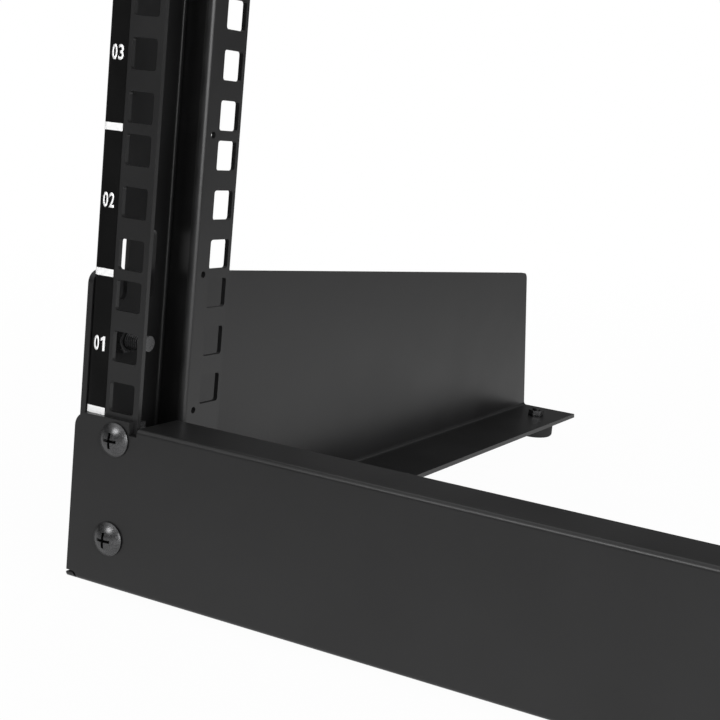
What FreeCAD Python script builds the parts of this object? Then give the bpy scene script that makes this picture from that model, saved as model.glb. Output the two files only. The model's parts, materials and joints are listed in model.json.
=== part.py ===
"""Two post open frame rack: two bent sheet posts with square holes on two flanges,
a front beam at the bottom and one at the top, and an L-shaped foot under each post.

Frame: X runs from the left post to the right one, Y from the front to the rear, Z up.
The origin is on the floor under the middle of the rack. All lengths are in millimetres.
The right side is the left one mirrored.
"""
import math
import os

import FreeCAD
import Part

V = FreeCAD.Vector
os.makedirs("parts", exist_ok=True)

# Rack unit sizes, from the standard for 19 inch equipment.
UNIT = 44.45
ROWS = (6.35, 22.225, 38.1)
HOLE = 9.5
HOLE_CORNER = 0.9
CORNER_FACETS = 3
HOLE_CENTRES = 465.1
UNITS = 12

# Posts.
SHEET = 1.5
BEND = 0.3
FOLD_BEND = 1.0
HOLE_FROM_WEB = 14.0
EDGE_MARGIN = 2.05
WEB_DEPTH = 36.3
RETURN_RISE = 12.8
SIDE_HOLE_Y = 34.7
SIDE_MARGIN = 1.5
MARKER_RADIUS = 1.1
MARKER_OFFSET = 7.6
SLOT_WIDTH = 4.0
SLOT_LENGTH = 22.0
SLOT_Y = (12.0, 25.0)
SLOT_RISE = 23.3

# Beams.
BEAM_HEIGHT = 54.0
BEAM_SHEET = 2.0
BEAM_DEPTH = 19.0
BEAM_BEND = 0.6
BEAM_ROUND = 1.6
TAB_RISE = 1.5
TAB_LENGTH = 21.2
TAB_RADIUS = 4.5
RELIEF_WIDTH = 4.0
RELIEF_HEIGHT = 2.4
RELIEF_ROUND = 1.8
RELIEF_SLIT = 0.7
LIP_INSET = 1.2
BEAM_GAP = 1.5

# Feet and pads.
FOOT_SHEET = 2.0
FOOT_WIDTH = 32.0
FOOT_LENGTH = 350.0
FOOT_TOP = 44.45
FOOT_REAR_TOP = 26.0
FOOT_REAR_SLANT = 16.0
FOOT_CORNER = 4.0
FOOT_BEND = 1.5
FOOT_CLEAR = 2.3
PAD_HEIGHT = 8.3
PAD_RADIUS = 9.5
PAD_ROUND = 1.8
PAD_ACROSS_FRONT = 12.0
PAD_ACROSS_REAR = 18.5
PAD_INSET_FRONT = 19.5
PAD_INSET_REAR = 22.0
PAD_GAP = 1.0

# Fasteners.
CLEARANCE = 0.2
SCREW_RADIUS = 2.6
SCREW_LENGTH = 10.0
HEAD_RADIUS = 5.4
HEAD_HEIGHT = 2.9
HEAD_WALL = 0.5
RECESS_WIDTH = 0.9
RECESS_SPAN = 5.8
RECESS_DEPTH = 1.8
NUT_PLATE = 12.0
NUT_THICK = 3.2
BOLT_RADIUS = 2.5
BOLT_Y = 12.0
BOLT_LENGTH = 15.5
BOLT_HEX = 8.0
BOLT_HEAD = 3.5
PAD_SCREW_RADIUS = 2.0
PAD_SCREW_HEAD = 3.6
PAD_SCREW_HEAD_HEIGHT = 1.5
PAD_HEX = 7.0
PAD_NUT_THICK = 3.0
THREAD_OVER = 1.0

# Levels and planes that follow from the sizes above.
FOOT_LIFT = BEAM_SHEET + FOOT_CLEAR
BOTTOM = PAD_HEIGHT - FOOT_LIFT
FOOT_FLOOR = PAD_HEIGHT + FOOT_SHEET
U_START = BOTTOM + BEAM_HEIGHT
U_END = U_START + UNITS * UNIT
TOP = U_END + BEAM_HEIGHT
POST_TOP = TOP - BEAM_SHEET - BEAM_GAP
LIP_DEPTH = BEAM_SHEET + PAD_INSET_FRONT - PAD_RADIUS - PAD_GAP
HALF_WEB = HOLE_CENTRES / 2 + HOLE_FROM_WEB
HALF = HALF_WEB + FOOT_SHEET
FLANGE = HOLE_FROM_WEB + HOLE / 2 + EDGE_MARGIN
SIDE_END = SIDE_HOLE_Y + HOLE / 2 + SIDE_MARGIN
FRONT = -(FOOT_LENGTH - BEAM_SHEET - HEAD_HEIGHT) / 2
FACE = FRONT - BEAM_SHEET
# The beam's screws use the first row beside it and the last one whose nut clears the foot.
NUT_ROOM = BEAM_HEIGHT - FOOT_LIFT - FOOT_SHEET - NUT_PLATE / 2
SCREW_ROWS = (ROWS[0], max(row for row in ROWS if row <= NUT_ROOM))
BOLT_HEIGHTS = (U_START + ROWS[1], U_START - ROWS[1])
PAD_PLACES = {
    "front": (-HALF + PAD_ACROSS_FRONT, FRONT + PAD_INSET_FRONT),
    "rear": (-HALF + PAD_ACROSS_REAR, FRONT + FOOT_LENGTH - PAD_INSET_REAR),
}


def box(x0, x1, y0, y1, z0, z1):
    """A block between two corners."""
    return Part.makeBox(x1 - x0, y1 - y0, z1 - z0, V(x0, y0, z0))


def prism(corners, direction):
    """A flat outline through the corners, pulled along a direction."""
    return Part.Face(Part.makePolygon(corners + [corners[0]])).extrude(direction)


def rod(radius, length, point, direction):
    """A round bar from a point along a direction."""
    return Part.makeCylinder(radius, length, V(*point), V(*direction))


def hexagon(across, length, point, direction):
    """A hexagonal prism from a point along a direction."""
    radius = across / math.sqrt(3.0)
    corners = []
    for k in range(6):
        angle = math.radians(60.0 * k + 30.0)
        corners.append(V(radius * math.cos(angle), radius * math.sin(angle), 0))
    body = prism(corners, V(0, 0, length))
    body.Placement = FreeCAD.Placement(V(*point), FreeCAD.Rotation(V(0, 0, 1), V(*direction)))
    return body


def hex_nut(across, thick, bore, point, direction):
    """A hexagonal nut with a plain bore."""
    return hexagon(across, thick, point, direction).cut(rod(bore, thick, point, direction))


def edges_along(shape, axis, test):
    """The straight edges along one axis whose middle passes a test."""
    found = []
    for edge in shape.Edges:
        if len(edge.Vertexes) != 2:
            continue
        run = edge.Vertexes[1].Point - edge.Vertexes[0].Point
        if run.Length < 0.01 or abs(run[axis]) / run.Length < 0.999:
            continue
        if test((edge.Vertexes[0].Point + edge.Vertexes[1].Point) * 0.5):
            found.append(edge)
    return found


def mirror(shape):
    """The same shape on the other side of the rack."""
    return shape.mirror(V(0, 0, 0), V(1, 0, 0))


def offset_path(path, distance):
    """An open path in plan moved to its right by a distance, with mitred corners."""
    moved = []
    for k, (x, y) in enumerate(path):
        normals = []
        for a, b in ((k - 1, k), (k, k + 1)):
            if a >= 0 and b < len(path):
                dx = path[b][0] - path[a][0]
                dy = path[b][1] - path[a][1]
                run = math.hypot(dx, dy)
                normals.append((dy / run, -dx / run))
        nx = sum(n[0] for n in normals)
        ny = sum(n[1] for n in normals)
        scale = distance * len(normals) / (nx * nx + ny * ny)
        moved.append((x + nx * scale, y + ny * scale))
    return moved


def bent_sheet(path, thick, bends, z0, z1):
    """An upright bent sheet: one face follows the path, the other lies to its right.

    The bends give the inside radius of each fold in turn."""
    other = offset_path(path, thick)
    outline = path + other[::-1]
    body = prism([V(x, y, z0) for x, y in outline], V(0, 0, z1 - z0))
    for k, bend in enumerate(bends, 1):
        before = (path[k][0] - path[k - 1][0], path[k][1] - path[k - 1][1])
        after = (path[k + 1][0] - path[k][0], path[k + 1][1] - path[k][1])
        turns_right = before[0] * after[1] - before[1] * after[0] < 0
        if turns_right:
            radii = ((path[k], bend + thick), (other[k], bend))
        else:
            radii = ((other[k], bend + thick), (path[k], bend))
        for (x, y), radius in radii:
            body = body.makeFillet(radius, edges_along(body, 2, lambda m: math.hypot(m.x - x, m.y - y) < 0.05))
    return body


def rows(first, last):
    """The heights of the hole rows from one rack unit to another."""
    return [U_START + unit * UNIT + row for unit in range(first, last) for row in ROWS]


def square_bar(across, point, axis, length):
    """A square bar along X or Y with faceted round corners, from a point in the middle of its end."""
    arm = across / 2 - HOLE_CORNER
    corners = []
    for k, (su, sv) in enumerate(((1, 1), (-1, 1), (-1, -1), (1, -1))):
        for step in range(CORNER_FACETS + 1):
            angle = math.radians(90.0 * (k + step / CORNER_FACETS))
            u = su * arm + HOLE_CORNER * math.cos(angle)
            v = sv * arm + HOLE_CORNER * math.sin(angle)
            if axis == 0:
                corners.append(V(point[0], point[1] + u, point[2] + v))
            else:
                corners.append(V(point[0] + u, point[1], point[2] + v))
    return prism(corners, V(length, 0, 0) if axis == 0 else V(0, length, 0))


def upright_slot(y, low):
    """The cutter for an upright slot with round ends in the left web."""
    r = SLOT_WIDTH / 2
    x = -HALF_WEB - 1
    deep = SHEET + 2
    ends = [rod(r, deep, (x, y, z), (1, 0, 0)) for z in (low + r, low + SLOT_LENGTH - r)]
    middle = box(x, x + deep, y - r, y + r, low + r, low + SLOT_LENGTH - r)
    return middle.fuse(ends)


def post_left():
    """One bent sheet: front flange, web, a return slanting inward and a side flange."""
    xo = -HALF_WEB
    path = [
        (xo + FLANGE, FRONT),
        (xo, FRONT),
        (xo, FRONT + WEB_DEPTH),
        (xo + FLANGE - SHEET, FRONT + WEB_DEPTH - RETURN_RISE),
        (xo + FLANGE - SHEET, FRONT + SIDE_END),
    ]
    body = bent_sheet(path, SHEET, (BEND, FOLD_BEND, BEND), FOOT_FLOOR, POST_TOP)
    x_hole = -HOLE_CENTRES / 2
    x_side = xo + FLANGE - SHEET
    y_side = FRONT + SIDE_HOLE_Y
    cuts = []
    # The front rows run on behind each beam, as far as whole holes fit.
    for z in rows(-1, UNITS + 1):
        if z - HOLE / 2 < FOOT_FLOOR or z + HOLE / 2 > POST_TOP:
            continue
        cuts.append(square_bar(HOLE, (x_hole, FRONT - 1, z), 1, SHEET + 2))
    for z in rows(0, UNITS):
        cuts.append(square_bar(HOLE, (x_side - 1, y_side, z), 0, SHEET + 2))
    # Small marker holes at the limits of each rack unit.
    for unit in range(UNITS + 1):
        place = (x_side - 1, y_side - MARKER_OFFSET, U_START + unit * UNIT)
        cuts.append(rod(MARKER_RADIUS, SHEET + 2, place, (1, 0, 0)))
    # Bolt holes and pairs of cable slots near both ends of the web.
    for z in BOLT_HEIGHTS + (U_END - ROWS[1], U_END + ROWS[1]):
        cuts.append(rod(BOLT_RADIUS + CLEARANCE, SHEET + 2, (xo - 1, FRONT + BOLT_Y, z), (1, 0, 0)))
    for y in SLOT_Y:
        cuts.append(upright_slot(FRONT + y, U_START + ROWS[1] + SLOT_RISE - SLOT_LENGTH / 2))
        cuts.append(upright_slot(FRONT + y, U_END - ROWS[1] - SLOT_RISE - SLOT_LENGTH / 2))
    return body.cut(Part.Compound(cuts))


def foot_left():
    """An L-shaped plate: it stands outside the web and its flange turns inward."""
    xo = -HALF
    y0 = FRONT
    y1 = FRONT + FOOT_LENGTH
    side = [
        V(xo, y0, PAD_HEIGHT),
        V(xo, y1, PAD_HEIGHT),
        V(xo, y1 - FOOT_REAR_SLANT, U_START + FOOT_REAR_TOP),
        V(xo, y0, U_START + FOOT_TOP),
    ]
    body = prism(side, V(FOOT_WIDTH, 0, 0))
    room = box(xo + FOOT_SHEET, xo + FOOT_WIDTH + 1, y0 - 1, y1 + 1, FOOT_FLOOR, U_START + FOOT_TOP + 1)
    body = body.cut(room)
    tips = edges_along(body, 0, lambda m: m.z > FOOT_FLOOR + FOOT_CORNER)
    body = body.makeFillet(FOOT_CORNER, tips)
    ends = edges_along(body, 2, lambda m: m.x > xo + FOOT_WIDTH - 0.1)
    body = body.makeFillet(FOOT_CORNER, ends)
    outer = edges_along(body, 1, lambda m: abs(m.x - xo) < 0.1 and abs(m.z - PAD_HEIGHT) < 0.1)
    body = body.makeFillet(FOOT_BEND + FOOT_SHEET, outer)
    inner = edges_along(body, 1, lambda m: abs(m.x - xo - FOOT_SHEET) < 0.1 and abs(m.z - FOOT_FLOOR) < 0.1)
    body = body.makeFillet(FOOT_BEND, inner)
    cuts = []
    for z in BOLT_HEIGHTS:
        cuts.append(rod(BOLT_RADIUS + CLEARANCE, FOOT_SHEET + 2, (xo - 1, FRONT + BOLT_Y, z), (1, 0, 0)))
    for x, y in PAD_PLACES.values():
        cuts.append(rod(PAD_SCREW_RADIUS + CLEARANCE, FOOT_SHEET + 2, (x, y, PAD_HEIGHT - 1), (0, 0, 1)))
    return body.cut(Part.Compound(cuts))


def corner_slit(side, bottom):
    """The cutter for the relief slit at a lower corner of a beam, round the end of its lip."""
    bars = []
    for shrink in (0, RELIEF_SLIT):
        ends = (side * (HALF - RELIEF_WIDTH + shrink), side * (HALF + 1))
        bar = box(min(ends), max(ends), FACE, FRONT, bottom - 1, bottom + RELIEF_HEIGHT - shrink)
        tip = edges_along(bar, 1, lambda m: abs(m.x) < HALF and m.z > bottom)
        bars.append(bar.makeFillet(RELIEF_ROUND - shrink, tip))
    return bars[0].cut(bars[1])


def beam(bottom, upside_down):
    """A folded beam: flat face in front, a deep flange to the rear above and a lip below."""
    t = BEAM_SHEET
    top = bottom + BEAM_HEIGHT
    ridge = top - TAB_RISE
    inner = HALF_WEB - FLANGE - BEAM_GAP
    tab = HALF - TAB_LENGTH
    lip = HALF - LIP_INSET
    face = box(-HALF, HALF, FACE, FRONT, bottom, ridge)
    tabs = [box(-HALF, -tab, FACE, FRONT, ridge, top), box(tab, HALF, FACE, FRONT, ridge, top)]
    upper = box(-inner, inner, FACE, FACE + BEAM_DEPTH, ridge - t, ridge)
    lower = box(-lip, lip, FACE, FACE + LIP_DEPTH, bottom, bottom + t)
    body = face.fuse(tabs + [upper, lower]).removeSplitter()
    long_edges = edges_along(body, 0, lambda m: abs(m.y - FACE) < 0.1 and abs(m.x) < BEAM_GAP)
    body = body.makeFillet(BEAM_ROUND, long_edges)
    inside = edges_along(body, 0, lambda m: abs(m.y - FRONT) < 0.1 and abs(m.x) < BEAM_GAP)
    body = body.makeFillet(BEAM_BEND, inside)
    tips = edges_along(body, 1, lambda m: abs(m.x) > HALF - 0.1 and m.z > top - 0.1)
    body = body.makeFillet(TAB_RADIUS, tips)
    cuts = [corner_slit(s, bottom) for s in (-1, 1)]
    for s in (-1, 1):
        ends = (s * inner, s * tab)
        cuts.append(box(min(ends), max(ends), FACE, FRONT, ridge - t - BEAM_BEND, top))
        for drop_z in SCREW_ROWS:
            place = (s * HOLE_CENTRES / 2, FACE, top - drop_z)
            cuts.append(rod(SCREW_RADIUS + CLEARANCE, t, place, (0, 1, 0)))
    body = body.cut(Part.Compound(cuts))
    if upside_down:
        body = body.mirror(V(0, 0, bottom + BEAM_HEIGHT / 2), V(0, 0, 1))
    return body


def pan_screw():
    """A pan head screw along Y, turned about its axis, with a crossed recess in the head."""
    rim = -HEAD_WALL
    rise = HEAD_HEIGHT - HEAD_WALL
    dome = (HEAD_RADIUS ** 2 + rise ** 2) / (2 * rise)
    centre = dome - HEAD_HEIGHT
    half_turn = math.asin(HEAD_RADIUS / dome) / 2
    shoulder = V(dome * math.sin(half_turn), centre - dome * math.cos(half_turn), 0)
    arc = Part.Arc(V(0, -HEAD_HEIGHT, 0), shoulder, V(HEAD_RADIUS, rim, 0)).toShape()
    rest = Part.makePolygon([
        V(HEAD_RADIUS, rim, 0),
        V(HEAD_RADIUS, 0, 0),
        V(SCREW_RADIUS, 0, 0),
        V(SCREW_RADIUS, SCREW_LENGTH, 0),
        V(0, SCREW_LENGTH, 0),
        V(0, -HEAD_HEIGHT, 0),
    ])
    body = Part.Face(Part.Wire([arc] + rest.Edges)).revolve(V(0, 0, 0), V(0, 1, 0), 360)
    w = RECESS_WIDTH / 2
    s = RECESS_SPAN / 2
    y0 = -HEAD_HEIGHT - 0.2
    y1 = RECESS_DEPTH - HEAD_HEIGHT
    blade = prism([V(-s, y0, -w), V(s, y0, -w), V(s * 0.6, y1, -w), V(-s * 0.6, y1, -w)], V(0, 0, 2 * w))
    other = blade.copy()
    other.rotate(V(0, 0, 0), V(0, 1, 0), 90)
    cross = blade.fuse(other).removeSplitter()
    return body.cut(cross)


def beam_screws(heights):
    """Pan head screws through the left tab of a beam and the post's front flange."""
    solids = []
    for z in heights:
        screw = pan_screw()
        screw.translate(V(-HOLE_CENTRES / 2, FACE, z))
        solids.append(screw)
    return Part.Compound(solids)


def beam_nuts(heights):
    """Square nuts behind the left post's front flange, each with a neck in a square hole."""
    solids = []
    x = -HOLE_CENTRES / 2
    y = FRONT + SHEET
    neck = HOLE / 2 - CLEARANCE
    half = NUT_PLATE / 2
    for z in heights:
        body = square_bar(2 * neck, (x, FRONT, z), 1, SHEET)
        body = body.fuse(box(x - half, x + half, y, y + NUT_THICK, z - half, z + half)).removeSplitter()
        solids.append(body.cut(rod(SCREW_RADIUS, SHEET + NUT_THICK, (x, FRONT, z), (0, 1, 0))))
    return Part.Compound(solids)


def foot_bolts():
    """Bolts through the foot plate and the web, heads outside."""
    solids = []
    for z in BOLT_HEIGHTS:
        head = hexagon(BOLT_HEX, BOLT_HEAD, (-HALF - BOLT_HEAD, FRONT + BOLT_Y, z), (1, 0, 0))
        shank = rod(BOLT_RADIUS, BOLT_LENGTH, (-HALF, FRONT + BOLT_Y, z), (1, 0, 0))
        solids.append(head.fuse(shank).removeSplitter())
    return Part.Compound(solids)


def foot_nuts():
    """Nuts on the foot bolts, against the inside of the web."""
    x = -HALF_WEB + SHEET
    return Part.Compound([
        hex_nut(BOLT_HEX, BOLT_HEX / 2, BOLT_RADIUS, (x, FRONT + BOLT_Y, z), (1, 0, 0)) for z in BOLT_HEIGHTS
    ])


def pad(x, y):
    """A round rubber pad under the foot flange, with a recess for the screw head."""
    body = Part.makeCylinder(PAD_RADIUS, PAD_HEIGHT, V(x, y, 0), V(0, 0, 1))
    rim = [e for e in body.Edges if len(e.Vertexes) == 1 and abs(e.CenterOfMass.z) < 0.01]
    body = body.makeFillet(min(PAD_ROUND, PAD_HEIGHT * 0.8), rim)
    recess = rod(PAD_SCREW_HEAD + CLEARANCE, PAD_HEIGHT / 2, (x, y, 0), (0, 0, 1))
    bore = rod(PAD_SCREW_RADIUS, PAD_HEIGHT, (x, y, 0), (0, 0, 1))
    return body.cut(recess.fuse(bore))


def pad_screw(x, y):
    """The screw up through a pad and the flange."""
    seat = PAD_HEIGHT / 2
    length = PAD_HEIGHT - seat + FOOT_SHEET + PAD_NUT_THICK + THREAD_OVER
    head = rod(PAD_SCREW_HEAD, PAD_SCREW_HEAD_HEIGHT, (x, y, seat - PAD_SCREW_HEAD_HEIGHT), (0, 0, 1))
    return head.fuse(rod(PAD_SCREW_RADIUS, length, (x, y, seat), (0, 0, 1))).removeSplitter()


def pad_nut(x, y):
    """The nut on top of the flange."""
    return hex_nut(PAD_HEX, PAD_NUT_THICK, PAD_SCREW_RADIUS, (x, y, FOOT_FLOOR), (0, 0, 1))


SCREW_HEIGHTS = {
    "bottom": [U_START - row for row in SCREW_ROWS],
    "top": [U_END + row for row in SCREW_ROWS],
}
nodes = {"beam_bottom": beam(BOTTOM, False), "beam_top": beam(U_END, True)}
left = {"post": post_left(), "foot": foot_left(), "foot_bolts": foot_bolts(), "foot_nuts": foot_nuts()}
for place, heights in SCREW_HEIGHTS.items():
    left["screws_" + place] = beam_screws(heights)
    left["nuts_" + place] = beam_nuts(heights)
for place, (x_pad, y_pad) in PAD_PLACES.items():
    left["pad_" + place] = pad(x_pad, y_pad)
    left["pad_screw_" + place] = pad_screw(x_pad, y_pad)
    left["pad_nut_" + place] = pad_nut(x_pad, y_pad)
for name, shape in left.items():
    nodes[name + "_left"] = shape
    nodes[name + "_right"] = mirror(shape)

for name, shape in nodes.items():
    assert shape.isValid(), name
    shape.exportStep("parts/" + name + ".step")
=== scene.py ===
"""Looks of a low two post open frame rack: black powder coat, blackened fasteners, rubber pads,
the number strips on the posts and the threads behind the nuts. All lengths are in metres, in the
frame of the CAD part."""
import json
import math

import bmesh
import bpy
from mathutils import Matrix, Vector


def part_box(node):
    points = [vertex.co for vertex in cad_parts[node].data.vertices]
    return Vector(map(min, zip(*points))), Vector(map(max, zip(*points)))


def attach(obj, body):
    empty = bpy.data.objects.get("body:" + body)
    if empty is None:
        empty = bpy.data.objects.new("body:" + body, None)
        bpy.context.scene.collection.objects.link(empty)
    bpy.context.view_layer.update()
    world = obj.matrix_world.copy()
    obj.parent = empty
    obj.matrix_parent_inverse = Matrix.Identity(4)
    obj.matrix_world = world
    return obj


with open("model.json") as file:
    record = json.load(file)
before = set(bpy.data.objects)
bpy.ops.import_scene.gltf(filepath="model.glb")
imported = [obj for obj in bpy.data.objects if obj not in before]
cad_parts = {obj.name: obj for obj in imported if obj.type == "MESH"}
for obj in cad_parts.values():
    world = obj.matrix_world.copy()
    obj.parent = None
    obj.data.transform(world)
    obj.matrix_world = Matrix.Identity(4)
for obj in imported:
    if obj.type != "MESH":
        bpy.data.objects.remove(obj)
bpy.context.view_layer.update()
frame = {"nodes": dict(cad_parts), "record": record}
nodes = frame["nodes"]
scene = bpy.context.scene

# Sizes of the rack that the strips and the threads follow. POST_BEND is the outer radius of the fold
# between a post's front flange and its web.
RACK_UNIT = 0.04445
UNITS = 12
BEAM_HEIGHT = 0.054
POST_BEND = 0.0018

# The black film on a post's front flange, next to the fold. Its mesh has columns, so that it can bend.
STRIP_MARGIN = 0.0005
STRIP_WIDTH = 0.0073
STRIP_THICK = 0.00015
STRIP_CORNER = 0.0008
STRIP_COLUMNS = 12
CORNER_STEPS = 4

# The white print on the film: a mark at each limit of a rack unit, and a number in its middle.
INK_THICK = 0.00006
MARK_HEIGHT = 0.0023
MARK_CORNER = 0.0002
DIGIT_HEIGHT = 0.0046
DIGIT_WIDTH = 0.0019
DIGIT_STEP = 0.0024

# How far the font's outline is moved outwards, and how close its doubled points lie, for a height of 1.
DIGIT_BOLD = 0.022
DIGIT_MERGE = 0.00001

# The numeral one, which has a flag but no foot: its outline for a height of 1.
ONE_OUTLINE = ((0.20, 0), (0.38, 0), (0.38, 1), (0.24, 1), (0.02, 0.84), (0.02, 0.66), (0.20, 0.76))

# The threads that stick out behind the nuts. The foot bolts lie BOLT_BACK behind the post's face, and
# BOLT_RISE above and below the start of the first rack unit.
THREAD_PITCH = 0.0008
THREAD_RISE = 0.0002
THREAD_STEPS = 20
BOLT_RADIUS = 0.0025
BOLT_BACK = 0.012
BOLT_RISE = 0.022225
SCREW_RADIUS = 0.0026
SCREW_HEAD_RADIUS = 0.0054

# Noise textures vary mostly between these two values.
NOISE_REACH = (0.3, 0.7)

# Painted shade in the fasteners' recesses: how near the walls have to be, and how strongly they darken.
PAINTED_SHADE_REACH = 0.0012
PAINTED_SHADE_CONTRAST = 3.0

# The photograph's camera: its place in metres, its turns in degrees, its lens and sensor in millimetres,
# and how far its frame is shifted, in widths of the picture.
CAMERA_PLACE = (0.037865, -0.495111, 0.158312)
CAMERA_AZIMUTH = 24.74
CAMERA_ELEVATION = -8.263
CAMERA_ROLL = 6.01
CAMERA_LENS = 67.43
CAMERA_SENSOR = 36.0
CAMERA_SHIFT = (-0.18125, -0.0493)

# The world's grey for each height of the ray, from 0 at the horizon to 1 overhead: the soft light that
# it gives, which weakens overhead, and what shows in reflections, which is dim at the horizon, dark
# above it and pale overhead.
SKY_LIGHT = ((0.0, 0.95), (0.4, 0.38), (1.0, 0.12))
SKY_MIRRORED = ((0.0, 0.32), (0.08, 0.06), (0.42, 0.04), (0.80, 0.90))

# The floor lies just below the pads. FLOOR_WHITE is how much of it is plain white near its centre, and
# over the distances of FLOOR_FADE it becomes wholly white.
FLOOR_CENTRE = (0.22, -0.12)
FLOOR_LEVEL = -0.0005
FLOOR_RADIUS = 30.0
FLOOR_SIDES = 96
FLOOR_GREY = 0.8
FLOOR_ROUGHNESS = 0.9
FLOOR_WHITE = 0.972
FLOOR_FADE = (0.50, 1.6)

# In reflections the floor loses this share of its white, over these distances from its centre.
FLOOR_LOSS = 0.65
FLOOR_LOSS_REACH = (0.20, 0.85)

# The lamps: where they are, how wide and high, their power in watts, and whether reflections show them.
# The first is wide and lights the folds from the right, the second glints on the screws from high in
# front on the left, and the third lights the outer and rear faces from behind on the left.
LAMP_AIM = (-0.1, 0, 0.12)
LAMPS = {
    "right_lamp": ((1.3, -0.6, 0.45), (1.5, 0.8), 30, True),
    "left_lamp": ((-0.7, -1.9, 1.3), (0.9, 0.6), 16, True),
    "back_lamp": ((-1.3, 1.4, 0.5), (1.2, 0.8), 22, False),
}


def new_material(name):
    """A material, the node tree to add to and its Principled shader."""
    material = bpy.data.materials.new(name)
    material.use_nodes = True
    tree = material.node_tree
    return material, tree, tree.nodes["Principled BSDF"]


def noise(tree, scale, detail):
    """A noise texture on Object coordinates; the scale is in spots per metre."""
    coordinates = tree.nodes.new("ShaderNodeTexCoord")
    texture = tree.nodes.new("ShaderNodeTexNoise")
    texture.inputs["Scale"].default_value = scale
    texture.inputs["Detail"].default_value = detail
    tree.links.new(coordinates.outputs["Object"], texture.inputs["Vector"])
    return texture.outputs["Fac"]


def mapped(tree, value, reach, start, end):
    """A value that goes from start to end while another one goes through a reach."""
    ramp = tree.nodes.new("ShaderNodeMapRange")
    ramp.inputs["From Min"].default_value = reach[0]
    ramp.inputs["From Max"].default_value = reach[1]
    ramp.inputs["To Min"].default_value = start
    ramp.inputs["To Max"].default_value = end
    tree.links.new(value, ramp.inputs["Value"])
    return ramp.outputs["Result"]


def tone(tree, pattern, dark, light):
    """Two colours blended by a noise pattern."""
    ramp = tree.nodes.new("ShaderNodeValToRGB")
    for stop, place, colour in zip(ramp.color_ramp.elements, NOISE_REACH, (dark, light)):
        stop.position = place
        stop.color = (*colour, 1)
    tree.links.new(pattern, ramp.inputs["Fac"])
    return ramp.outputs["Color"]


def relief(tree, pattern, depth, strength):
    """The normals of a noise pattern with a depth in metres."""
    bump = tree.nodes.new("ShaderNodeBump")
    bump.inputs["Distance"].default_value = depth
    bump.inputs["Strength"].default_value = strength
    tree.links.new(pattern, bump.inputs["Height"])
    return bump.outputs["Normal"]


def calculated(tree, operation, first, second):
    """The result of a sum on two values, each a socket or a number."""
    node = tree.nodes.new("ShaderNodeMath")
    node.operation = operation
    for socket, value in zip(node.inputs, (first, second)):
        if isinstance(value, float):
            socket.default_value = value
        else:
            tree.links.new(value, socket)
    return node.outputs["Value"]


def blended(tree, share, first, second):
    """Two shaders blended by the share of the second one."""
    node = tree.nodes.new("ShaderNodeMixShader")
    tree.links.new(share, node.inputs["Fac"])
    tree.links.new(first, node.inputs[1])
    tree.links.new(second, node.inputs[2])
    return node.outputs["Shader"]


def powder_coat():
    """Black satin powder coat: a fine orange peel, with slightly uneven colour and gloss."""
    material, tree, shader = new_material("black_powder_coat")
    cloud = noise(tree, scale=30.0, detail=3.0)
    peel = noise(tree, scale=900.0, detail=2.0)
    colour = tone(tree, cloud, dark=(0.010, 0.010, 0.0102), light=(0.013, 0.013, 0.0133))
    tree.links.new(colour, shader.inputs["Base Color"])
    tree.links.new(mapped(tree, cloud, NOISE_REACH, 0.31, 0.39), shader.inputs["Roughness"])
    tree.links.new(relief(tree, peel, depth=0.00004, strength=0.35), shader.inputs["Normal"])
    shader.inputs["Specular IOR Level"].default_value = 0.41
    return material


def oxide_with_painted_shade():
    """Black oxide on steel fasteners: dark metal with a soft gloss and a fine grain. Painted shade darkens
    its colour where walls are close, as in the cross of a screw and right beside its head."""
    material, tree, shader = new_material("oxide_steel_painted_shade")
    grain = noise(tree, scale=2500.0, detail=2.0)
    colour = tone(tree, grain, dark=(0.07, 0.07, 0.0715), light=(0.12, 0.12, 0.1225))
    # Painted shade: an ambient occlusion factor, raised to a power, darkens the colour near close walls.
    painted_recess_shade = tree.nodes.new("ShaderNodeAmbientOcclusion")
    painted_recess_shade.inputs["Distance"].default_value = PAINTED_SHADE_REACH
    shade = tree.nodes.new("ShaderNodeVectorMath")
    shade.operation = "SCALE"
    tree.links.new(colour, shade.inputs[0])
    tree.links.new(calculated(tree, "POWER", painted_recess_shade.outputs["AO"], PAINTED_SHADE_CONTRAST), shade.inputs["Scale"])
    tree.links.new(shade.outputs[0], shader.inputs["Base Color"])
    tree.links.new(mapped(tree, grain, NOISE_REACH, 0.25, 0.35), shader.inputs["Roughness"])
    tree.links.new(relief(tree, grain, depth=0.00002, strength=0.15), shader.inputs["Normal"])
    shader.inputs["Metallic"].default_value = 0.85
    return material


def pad_rubber():
    """Matt black moulded rubber."""
    material, tree, shader = new_material("black_rubber")
    grain = noise(tree, scale=1600.0, detail=3.0)
    colour = tone(tree, grain, dark=(0.008, 0.008, 0.008), light=(0.014, 0.014, 0.014))
    tree.links.new(colour, shader.inputs["Base Color"])
    tree.links.new(mapped(tree, grain, NOISE_REACH, 0.70, 0.85), shader.inputs["Roughness"])
    tree.links.new(relief(tree, grain, depth=0.00004, strength=0.4), shader.inputs["Normal"])
    return material


def strip_film():
    """Smooth black printed film, darker than the paint and with less of a sheen."""
    material, tree, shader = new_material("strip_film")
    cloud = noise(tree, scale=60.0, detail=2.0)
    colour = tone(tree, cloud, dark=(0.003, 0.003, 0.003), light=(0.005, 0.005, 0.005))
    tree.links.new(colour, shader.inputs["Base Color"])
    tree.links.new(mapped(tree, cloud, NOISE_REACH, 0.42, 0.50), shader.inputs["Roughness"])
    shader.inputs["Specular IOR Level"].default_value = 0.09
    return material


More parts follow.
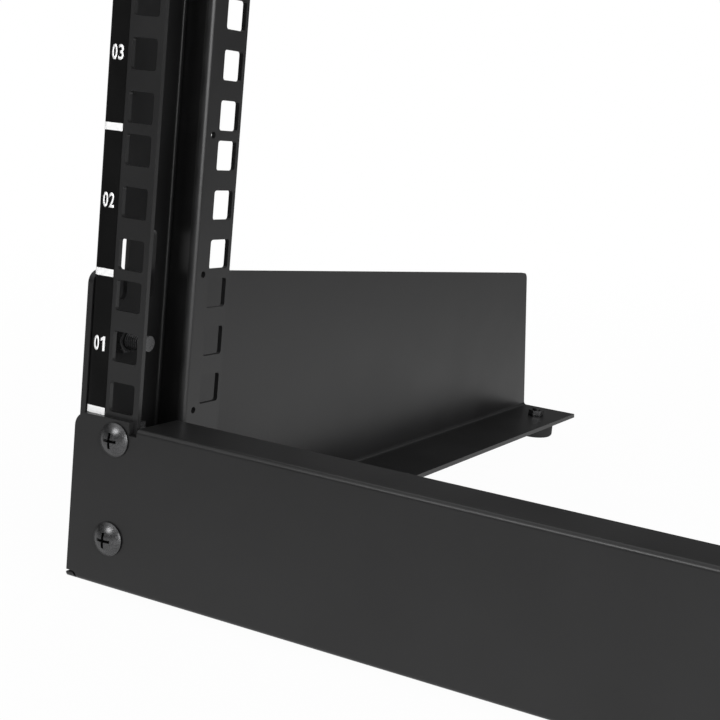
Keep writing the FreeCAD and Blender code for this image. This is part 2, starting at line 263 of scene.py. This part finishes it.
def strip_ink():
    """White ink of the numbers and marks."""
    material, tree, shader = new_material("strip_ink")
    cloud = noise(tree, scale=800.0, detail=2.0)
    colour = tone(tree, cloud, dark=(0.82, 0.82, 0.82), light=(0.90, 0.90, 0.90))
    tree.links.new(colour, shader.inputs["Base Color"])
    tree.links.new(mapped(tree, cloud, NOISE_REACH, 0.45, 0.55), shader.inputs["Roughness"])
    return material


POWDER = powder_coat()
OXIDE_PAINTED_SHADE = oxide_with_painted_shade()
RUBBER = pad_rubber()
FILM = strip_film()
INK = strip_ink()


def dress_cad_nodes():
    """Gives each CAD node its finish."""
    finishes = {"black_steel": POWDER, "black_screw": OXIDE_PAINTED_SHADE, "pad_rubber": RUBBER}
    for row in frame["record"]["subparts"]:
        node = nodes[row["node"]]
        node.data.materials.clear()
        node.data.materials.append(finishes[row["material_slot"]])


def add_piece(name, work, material):
    """Makes a finished piece from a bmesh, riding on the rack's one body."""
    mesh = bpy.data.meshes.new(name)
    work.to_mesh(mesh)
    work.free()
    mesh.materials.append(material)
    piece = bpy.data.objects.new(name, mesh)
    scene.collection.objects.link(piece)
    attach(piece, "root")


def first_unit_level():
    """The height at which the first rack unit starts, level with the top of the lower beam."""
    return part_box("beam_bottom")[0].z + BEAM_HEIGHT


def stand_and_thicken(work, thick):
    """Turns a flat bmesh from the XY plane upright into the XZ plane, with its back at y = 0."""
    bmesh.ops.rotate(work, cent=(0, 0, 0), matrix=Matrix.Rotation(math.pi / 2, 3, "X"), verts=work.verts)
    grown = bmesh.ops.extrude_face_region(work, geom=work.faces[:])
    front = [part for part in grown["geom"] if isinstance(part, bmesh.types.BMVert)]
    bmesh.ops.translate(work, vec=(0, -thick, 0), verts=front)
    bmesh.ops.recalc_face_normals(work, faces=work.faces)


def upright_plate(width, height, thick, corner):
    """A thin upright plate with rounded corners, centred on the Z axis."""
    work = bmesh.new()
    bmesh.ops.create_grid(work, x_segments=STRIP_COLUMNS, y_segments=1, size=0.5)
    edge = max(vert.co.x for vert in work.verts)
    corners = [vert for vert in work.verts if math.isclose(abs(vert.co.x), edge, rel_tol=0.001)]
    bmesh.ops.scale(work, vec=(width, height, 1), verts=work.verts)
    bmesh.ops.bevel(work, geom=corners, offset=corner, segments=CORNER_STEPS, profile=0.5,
                    affect="VERTICES", material=-1)
    stand_and_thicken(work, thick)
    return work


def join_into(target, piece, place):
    """Adds a bmesh to another one at a place."""
    bmesh.ops.translate(piece, vec=place, verts=piece.verts)
    mesh = bpy.data.meshes.new("part")
    piece.to_mesh(mesh)
    piece.free()
    target.from_mesh(mesh)
    bpy.data.meshes.remove(mesh)


def font_digit(digit):
    """One digit of the font as a flat bmesh in the XY plane."""
    work = bmesh.new()
    curve = bpy.data.curves.new("digit", "FONT")
    curve.body = digit
    curve.offset = DIGIT_BOLD
    holder = bpy.data.objects.new("digit", curve)
    scene.collection.objects.link(holder)
    bpy.context.view_layer.update()
    flat = bpy.data.meshes.new_from_object(holder)
    work.from_mesh(flat)
    bpy.data.objects.remove(holder)
    bpy.data.meshes.remove(flat)
    bmesh.ops.remove_doubles(work, verts=work.verts, dist=DIGIT_MERGE)
    return work


def numeral_one():
    """The digit 1 as a flat bmesh in the XY plane."""
    work = bmesh.new()
    work.faces.new([work.verts.new((x, y, 0)) for x, y in ONE_OUTLINE])
    return work


def printed_digit(digit):
    """One flat digit in the XY plane, centred and of the printed size. The 1 keeps its own width."""
    work = numeral_one() if digit == "1" else font_digit(digit)
    across = [vert.co.x for vert in work.verts]
    along = [vert.co.y for vert in work.verts]
    middle = ((max(across) + min(across)) / 2, (max(along) + min(along)) / 2)
    taller = DIGIT_HEIGHT / (max(along) - min(along))
    wider = taller if digit == "1" else DIGIT_WIDTH / (max(across) - min(across))
    bmesh.ops.translate(work, vec=(-middle[0], -middle[1], 0), verts=work.verts)
    bmesh.ops.scale(work, vec=(wider, taller, 1), verts=work.verts)
    return work


def printed_number(text):
    """An upright number of two digits, centred."""
    work = bmesh.new()
    for place, digit in enumerate(text):
        join_into(work, printed_digit(digit), ((place - 0.5) * DIGIT_STEP, 0, 0))
    stand_and_thicken(work, INK_THICK)
    return work


def wrap_round_fold(work, edge, inward, face):
    """Bends what lies beyond the flat of the flange round the post's fold. The side edge of the post is
    at x = edge, inward is +1 or -1 and points away from it, and the flange's face is at y = face."""
    for vert in work.verts:
        past = POST_BEND - (vert.co.x - edge) * inward
        if past > 0:
            reach = POST_BEND + face - vert.co.y
            turn = past / POST_BEND
            vert.co.x = edge + (POST_BEND - reach * math.sin(turn)) * inward
            vert.co.y = face + POST_BEND - reach * math.cos(turn)


def number_strip(side):
    """The printed strip on one post's front flange: black film, white marks and the unit numbers."""
    low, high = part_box("post_" + side)
    start = first_unit_level()
    face = low.y
    edge, inward = (low.x, 1) if side == "left" else (high.x, -1)
    x = edge + (STRIP_MARGIN + STRIP_WIDTH / 2) * inward
    tall = UNITS * RACK_UNIT
    film = upright_plate(STRIP_WIDTH, tall, STRIP_THICK, STRIP_CORNER)
    bmesh.ops.translate(film, vec=(x, face, start + tall / 2), verts=film.verts)
    wrap_round_fold(film, edge, inward, face)
    add_piece("number_strip_" + side, film, FILM)
    ink = bmesh.new()
    top = face - STRIP_THICK
    for limit in range(UNITS + 1):
        z = start + limit * RACK_UNIT
        # The first and the last mark stay within the film.
        if limit == 0:
            z += MARK_HEIGHT / 2
        if limit == UNITS:
            z -= MARK_HEIGHT / 2
        join_into(ink, upright_plate(STRIP_WIDTH, MARK_HEIGHT, INK_THICK, MARK_CORNER), (x, top, z))
    for unit in range(UNITS):
        middle = start + (unit + 0.5) * RACK_UNIT
        join_into(ink, printed_number("%02d" % (unit + 1)), (x, top, middle))
    wrap_round_fold(ink, edge, inward, face)
    add_piece("strip_print_" + side, ink, INK)


def thread_rings(work, start, end, axis, radius):
    """Thread ridges as rings round a shank, from start to end along the X or the Y axis."""
    step = (end - start).normalized() * THREAD_PITCH
    out = Vector((0, 0, 1))
    for ring in range(int((end - start).length / THREAD_PITCH)):
        near = start + step * ring
        corners = [near + out * (radius - THREAD_RISE / 2)]
        corners.append(near + step / 2 + out * (radius + THREAD_RISE))
        corners.append(near + step + out * (radius - THREAD_RISE / 2))
        verts = [work.verts.new(corner) for corner in corners]
        edges = [work.edges.new((verts[i], verts[i - 1])) for i in range(3)]
        bmesh.ops.spin(work, geom=verts + edges, cent=near, axis=axis, angle=math.tau,
                       steps=THREAD_STEPS, use_merge=True)


def foot_bolt_threads(side):
    """Threads on the two bolts between a foot and its post, from the nuts to the bolts' ends."""
    work = bmesh.new()
    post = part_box("post_" + side)
    inner = 1 if side == "left" else 0
    for rise in (BOLT_RISE, -BOLT_RISE):
        place = (post[0].y + BOLT_BACK, first_unit_level() + rise)
        near = Vector((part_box("foot_nuts_" + side)[inner].x, *place))
        far = Vector((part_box("foot_bolts_" + side)[inner].x, *place))
        thread_rings(work, near, far, (1, 0, 0), BOLT_RADIUS)
    bmesh.ops.recalc_face_normals(work, faces=work.faces)
    add_piece("bolt_threads_" + side, work, OXIDE_PAINTED_SHADE)


def beam_screw_threads(beam, side):
    """Threads on the two screws at one end of a beam, from the nuts to the screws' ends."""
    work = bmesh.new()
    name = "_%s_%s" % (beam, side)
    low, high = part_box("screws" + name)
    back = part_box("nuts" + name)[1].y
    for z in (low.z + SCREW_HEAD_RADIUS, high.z - SCREW_HEAD_RADIUS):
        x = (low.x + high.x) / 2
        thread_rings(work, Vector((x, back, z)), Vector((x, high.y, z)), (0, 1, 0), SCREW_RADIUS)
    bmesh.ops.recalc_face_normals(work, faces=work.faces)
    add_piece("screw_threads" + name, work, OXIDE_PAINTED_SHADE)


def ray_kinds(tree, kinds):
    """One for the named kinds of ray and nought for all others."""
    path = tree.nodes.new("ShaderNodeLightPath")
    share = path.outputs[kinds[0]]
    for kind in kinds[1:]:
        share = calculated(tree, "MAXIMUM", share, path.outputs[kind])
    return share


def floor_white():
    """White that keeps a faint shadow near the rack, fades into the background and mirrors less far away."""
    material, tree, shader = new_material("studio_white")
    shader.inputs["Base Color"].default_value = (FLOOR_GREY, FLOOR_GREY, FLOOR_GREY, 1)
    shader.inputs["Roughness"].default_value = FLOOR_ROUGHNESS
    coordinates = tree.nodes.new("ShaderNodeTexCoord")
    distance = tree.nodes.new("ShaderNodeVectorMath")
    distance.operation = "LENGTH"
    tree.links.new(coordinates.outputs["Object"], distance.inputs[0])
    away = distance.outputs["Value"]
    loss = mapped(tree, away, FLOOR_LOSS_REACH, 0.0, FLOOR_LOSS)
    lost = calculated(tree, "MULTIPLY", ray_kinds(tree, ("Is Glossy Ray",)), loss)
    glow = tree.nodes.new("ShaderNodeEmission")
    tree.links.new(calculated(tree, "SUBTRACT", 1.0, lost), glow.inputs["Strength"])
    white = mapped(tree, away, FLOOR_FADE, FLOOR_WHITE, 1.0)
    seen = ray_kinds(tree, ("Is Camera Ray", "Is Glossy Ray", "Is Transmission Ray"))
    share = calculated(tree, "MULTIPLY", seen, white)
    surface = blended(tree, share, shader.outputs["BSDF"], glow.outputs["Emission"])
    tree.links.new(surface, tree.nodes["Material Output"].inputs["Surface"])
    return material


def studio_floor():
    """The wide round floor under the rack."""
    work = bmesh.new()
    bmesh.ops.create_circle(work, cap_ends=True, radius=FLOOR_RADIUS, segments=FLOOR_SIDES)
    mesh = bpy.data.meshes.new("studio_floor")
    work.to_mesh(mesh)
    work.free()
    mesh.materials.append(floor_white())
    floor = bpy.data.objects.new("studio_floor", mesh)
    floor.location = (*FLOOR_CENTRE, FLOOR_LEVEL)
    scene.collection.objects.link(floor)


def sky(tree, stops):
    """A world background whose grey follows the height of the ray, from pairs of height and grey."""
    coordinates = tree.nodes.new("ShaderNodeTexCoord")
    parts = tree.nodes.new("ShaderNodeSeparateXYZ")
    ramp = tree.nodes.new("ShaderNodeValToRGB")
    background = tree.nodes.new("ShaderNodeBackground")
    while len(ramp.color_ramp.elements) < len(stops):
        ramp.color_ramp.elements.new(0.5)
    for stop, (height, grey) in zip(ramp.color_ramp.elements, stops):
        stop.position = height
        stop.color = (grey, grey, grey, 1)
    tree.links.new(coordinates.outputs["Generated"], parts.inputs[0])
    tree.links.new(parts.outputs["Z"], ramp.inputs["Fac"])
    tree.links.new(ramp.outputs["Color"], background.inputs["Color"])
    return background.outputs["Background"]


def white_world():
    """White for the camera, a soft light all round, and in reflections a dark band under a pale ceiling."""
    world = bpy.data.worlds.new("studio")
    world.use_nodes = True
    tree = world.node_tree
    white = tree.nodes["Background"]
    white.inputs["Color"].default_value = (1, 1, 1, 1)
    white.inputs["Strength"].default_value = 1.0
    mirrored = ray_kinds(tree, ("Is Glossy Ray",))
    studio = blended(tree, mirrored, sky(tree, SKY_LIGHT), sky(tree, SKY_MIRRORED))
    seen = ray_kinds(tree, ("Is Camera Ray", "Is Transmission Ray"))
    whole = blended(tree, seen, studio, white.outputs["Background"])
    tree.links.new(whole, tree.nodes["World Output"].inputs["Surface"])
    scene.world = world


def soft_lamp(name, place, size, power, mirrored):
    """A rectangular area lamp turned towards the rack, seen in reflections or not."""
    light = bpy.data.lights.new(name, "AREA")
    light.shape = "RECTANGLE"
    light.size, light.size_y = size
    light.energy = power
    lamp = bpy.data.objects.new(name, light)
    lamp.location = place
    lamp.rotation_mode = "QUATERNION"
    lamp.rotation_quaternion = (Vector(LAMP_AIM) - Vector(place)).to_track_quat("-Z", "Y")
    lamp.visible_glossy = mirrored
    scene.collection.objects.link(lamp)


def photo_camera():
    """The camera where the photograph was taken from, turned by its azimuth, elevation and roll."""
    data = bpy.data.cameras.new("photo_camera")
    data.sensor_width = CAMERA_SENSOR
    data.lens = CAMERA_LENS
    data.shift_x, data.shift_y = CAMERA_SHIFT
    camera = bpy.data.objects.new("photo_camera", data)
    azimuth = math.radians(CAMERA_AZIMUTH)
    elevation = math.radians(CAMERA_ELEVATION)
    level = math.cos(elevation)
    look = Vector((-math.sin(azimuth) * level, math.cos(azimuth) * level, math.sin(elevation)))
    turn = look.to_track_quat("-Z", "Y").to_matrix() @ Matrix.Rotation(math.radians(CAMERA_ROLL), 3, "Z")
    camera.matrix_world = Matrix.Translation(CAMERA_PLACE) @ turn.to_4x4()
    scene.collection.objects.link(camera)
    scene.camera = camera


dress_cad_nodes()
for side in ("left", "right"):
    number_strip(side)
    foot_bolt_threads(side)
    for beam in ("bottom", "top"):
        beam_screw_threads(beam, side)
studio_floor()
white_world()
for name, (place, size, power, mirrored) in LAMPS.items():
    soft_lamp(name, place, size, power, mirrored)
photo_camera()
scene.view_settings.view_transform = "Standard"
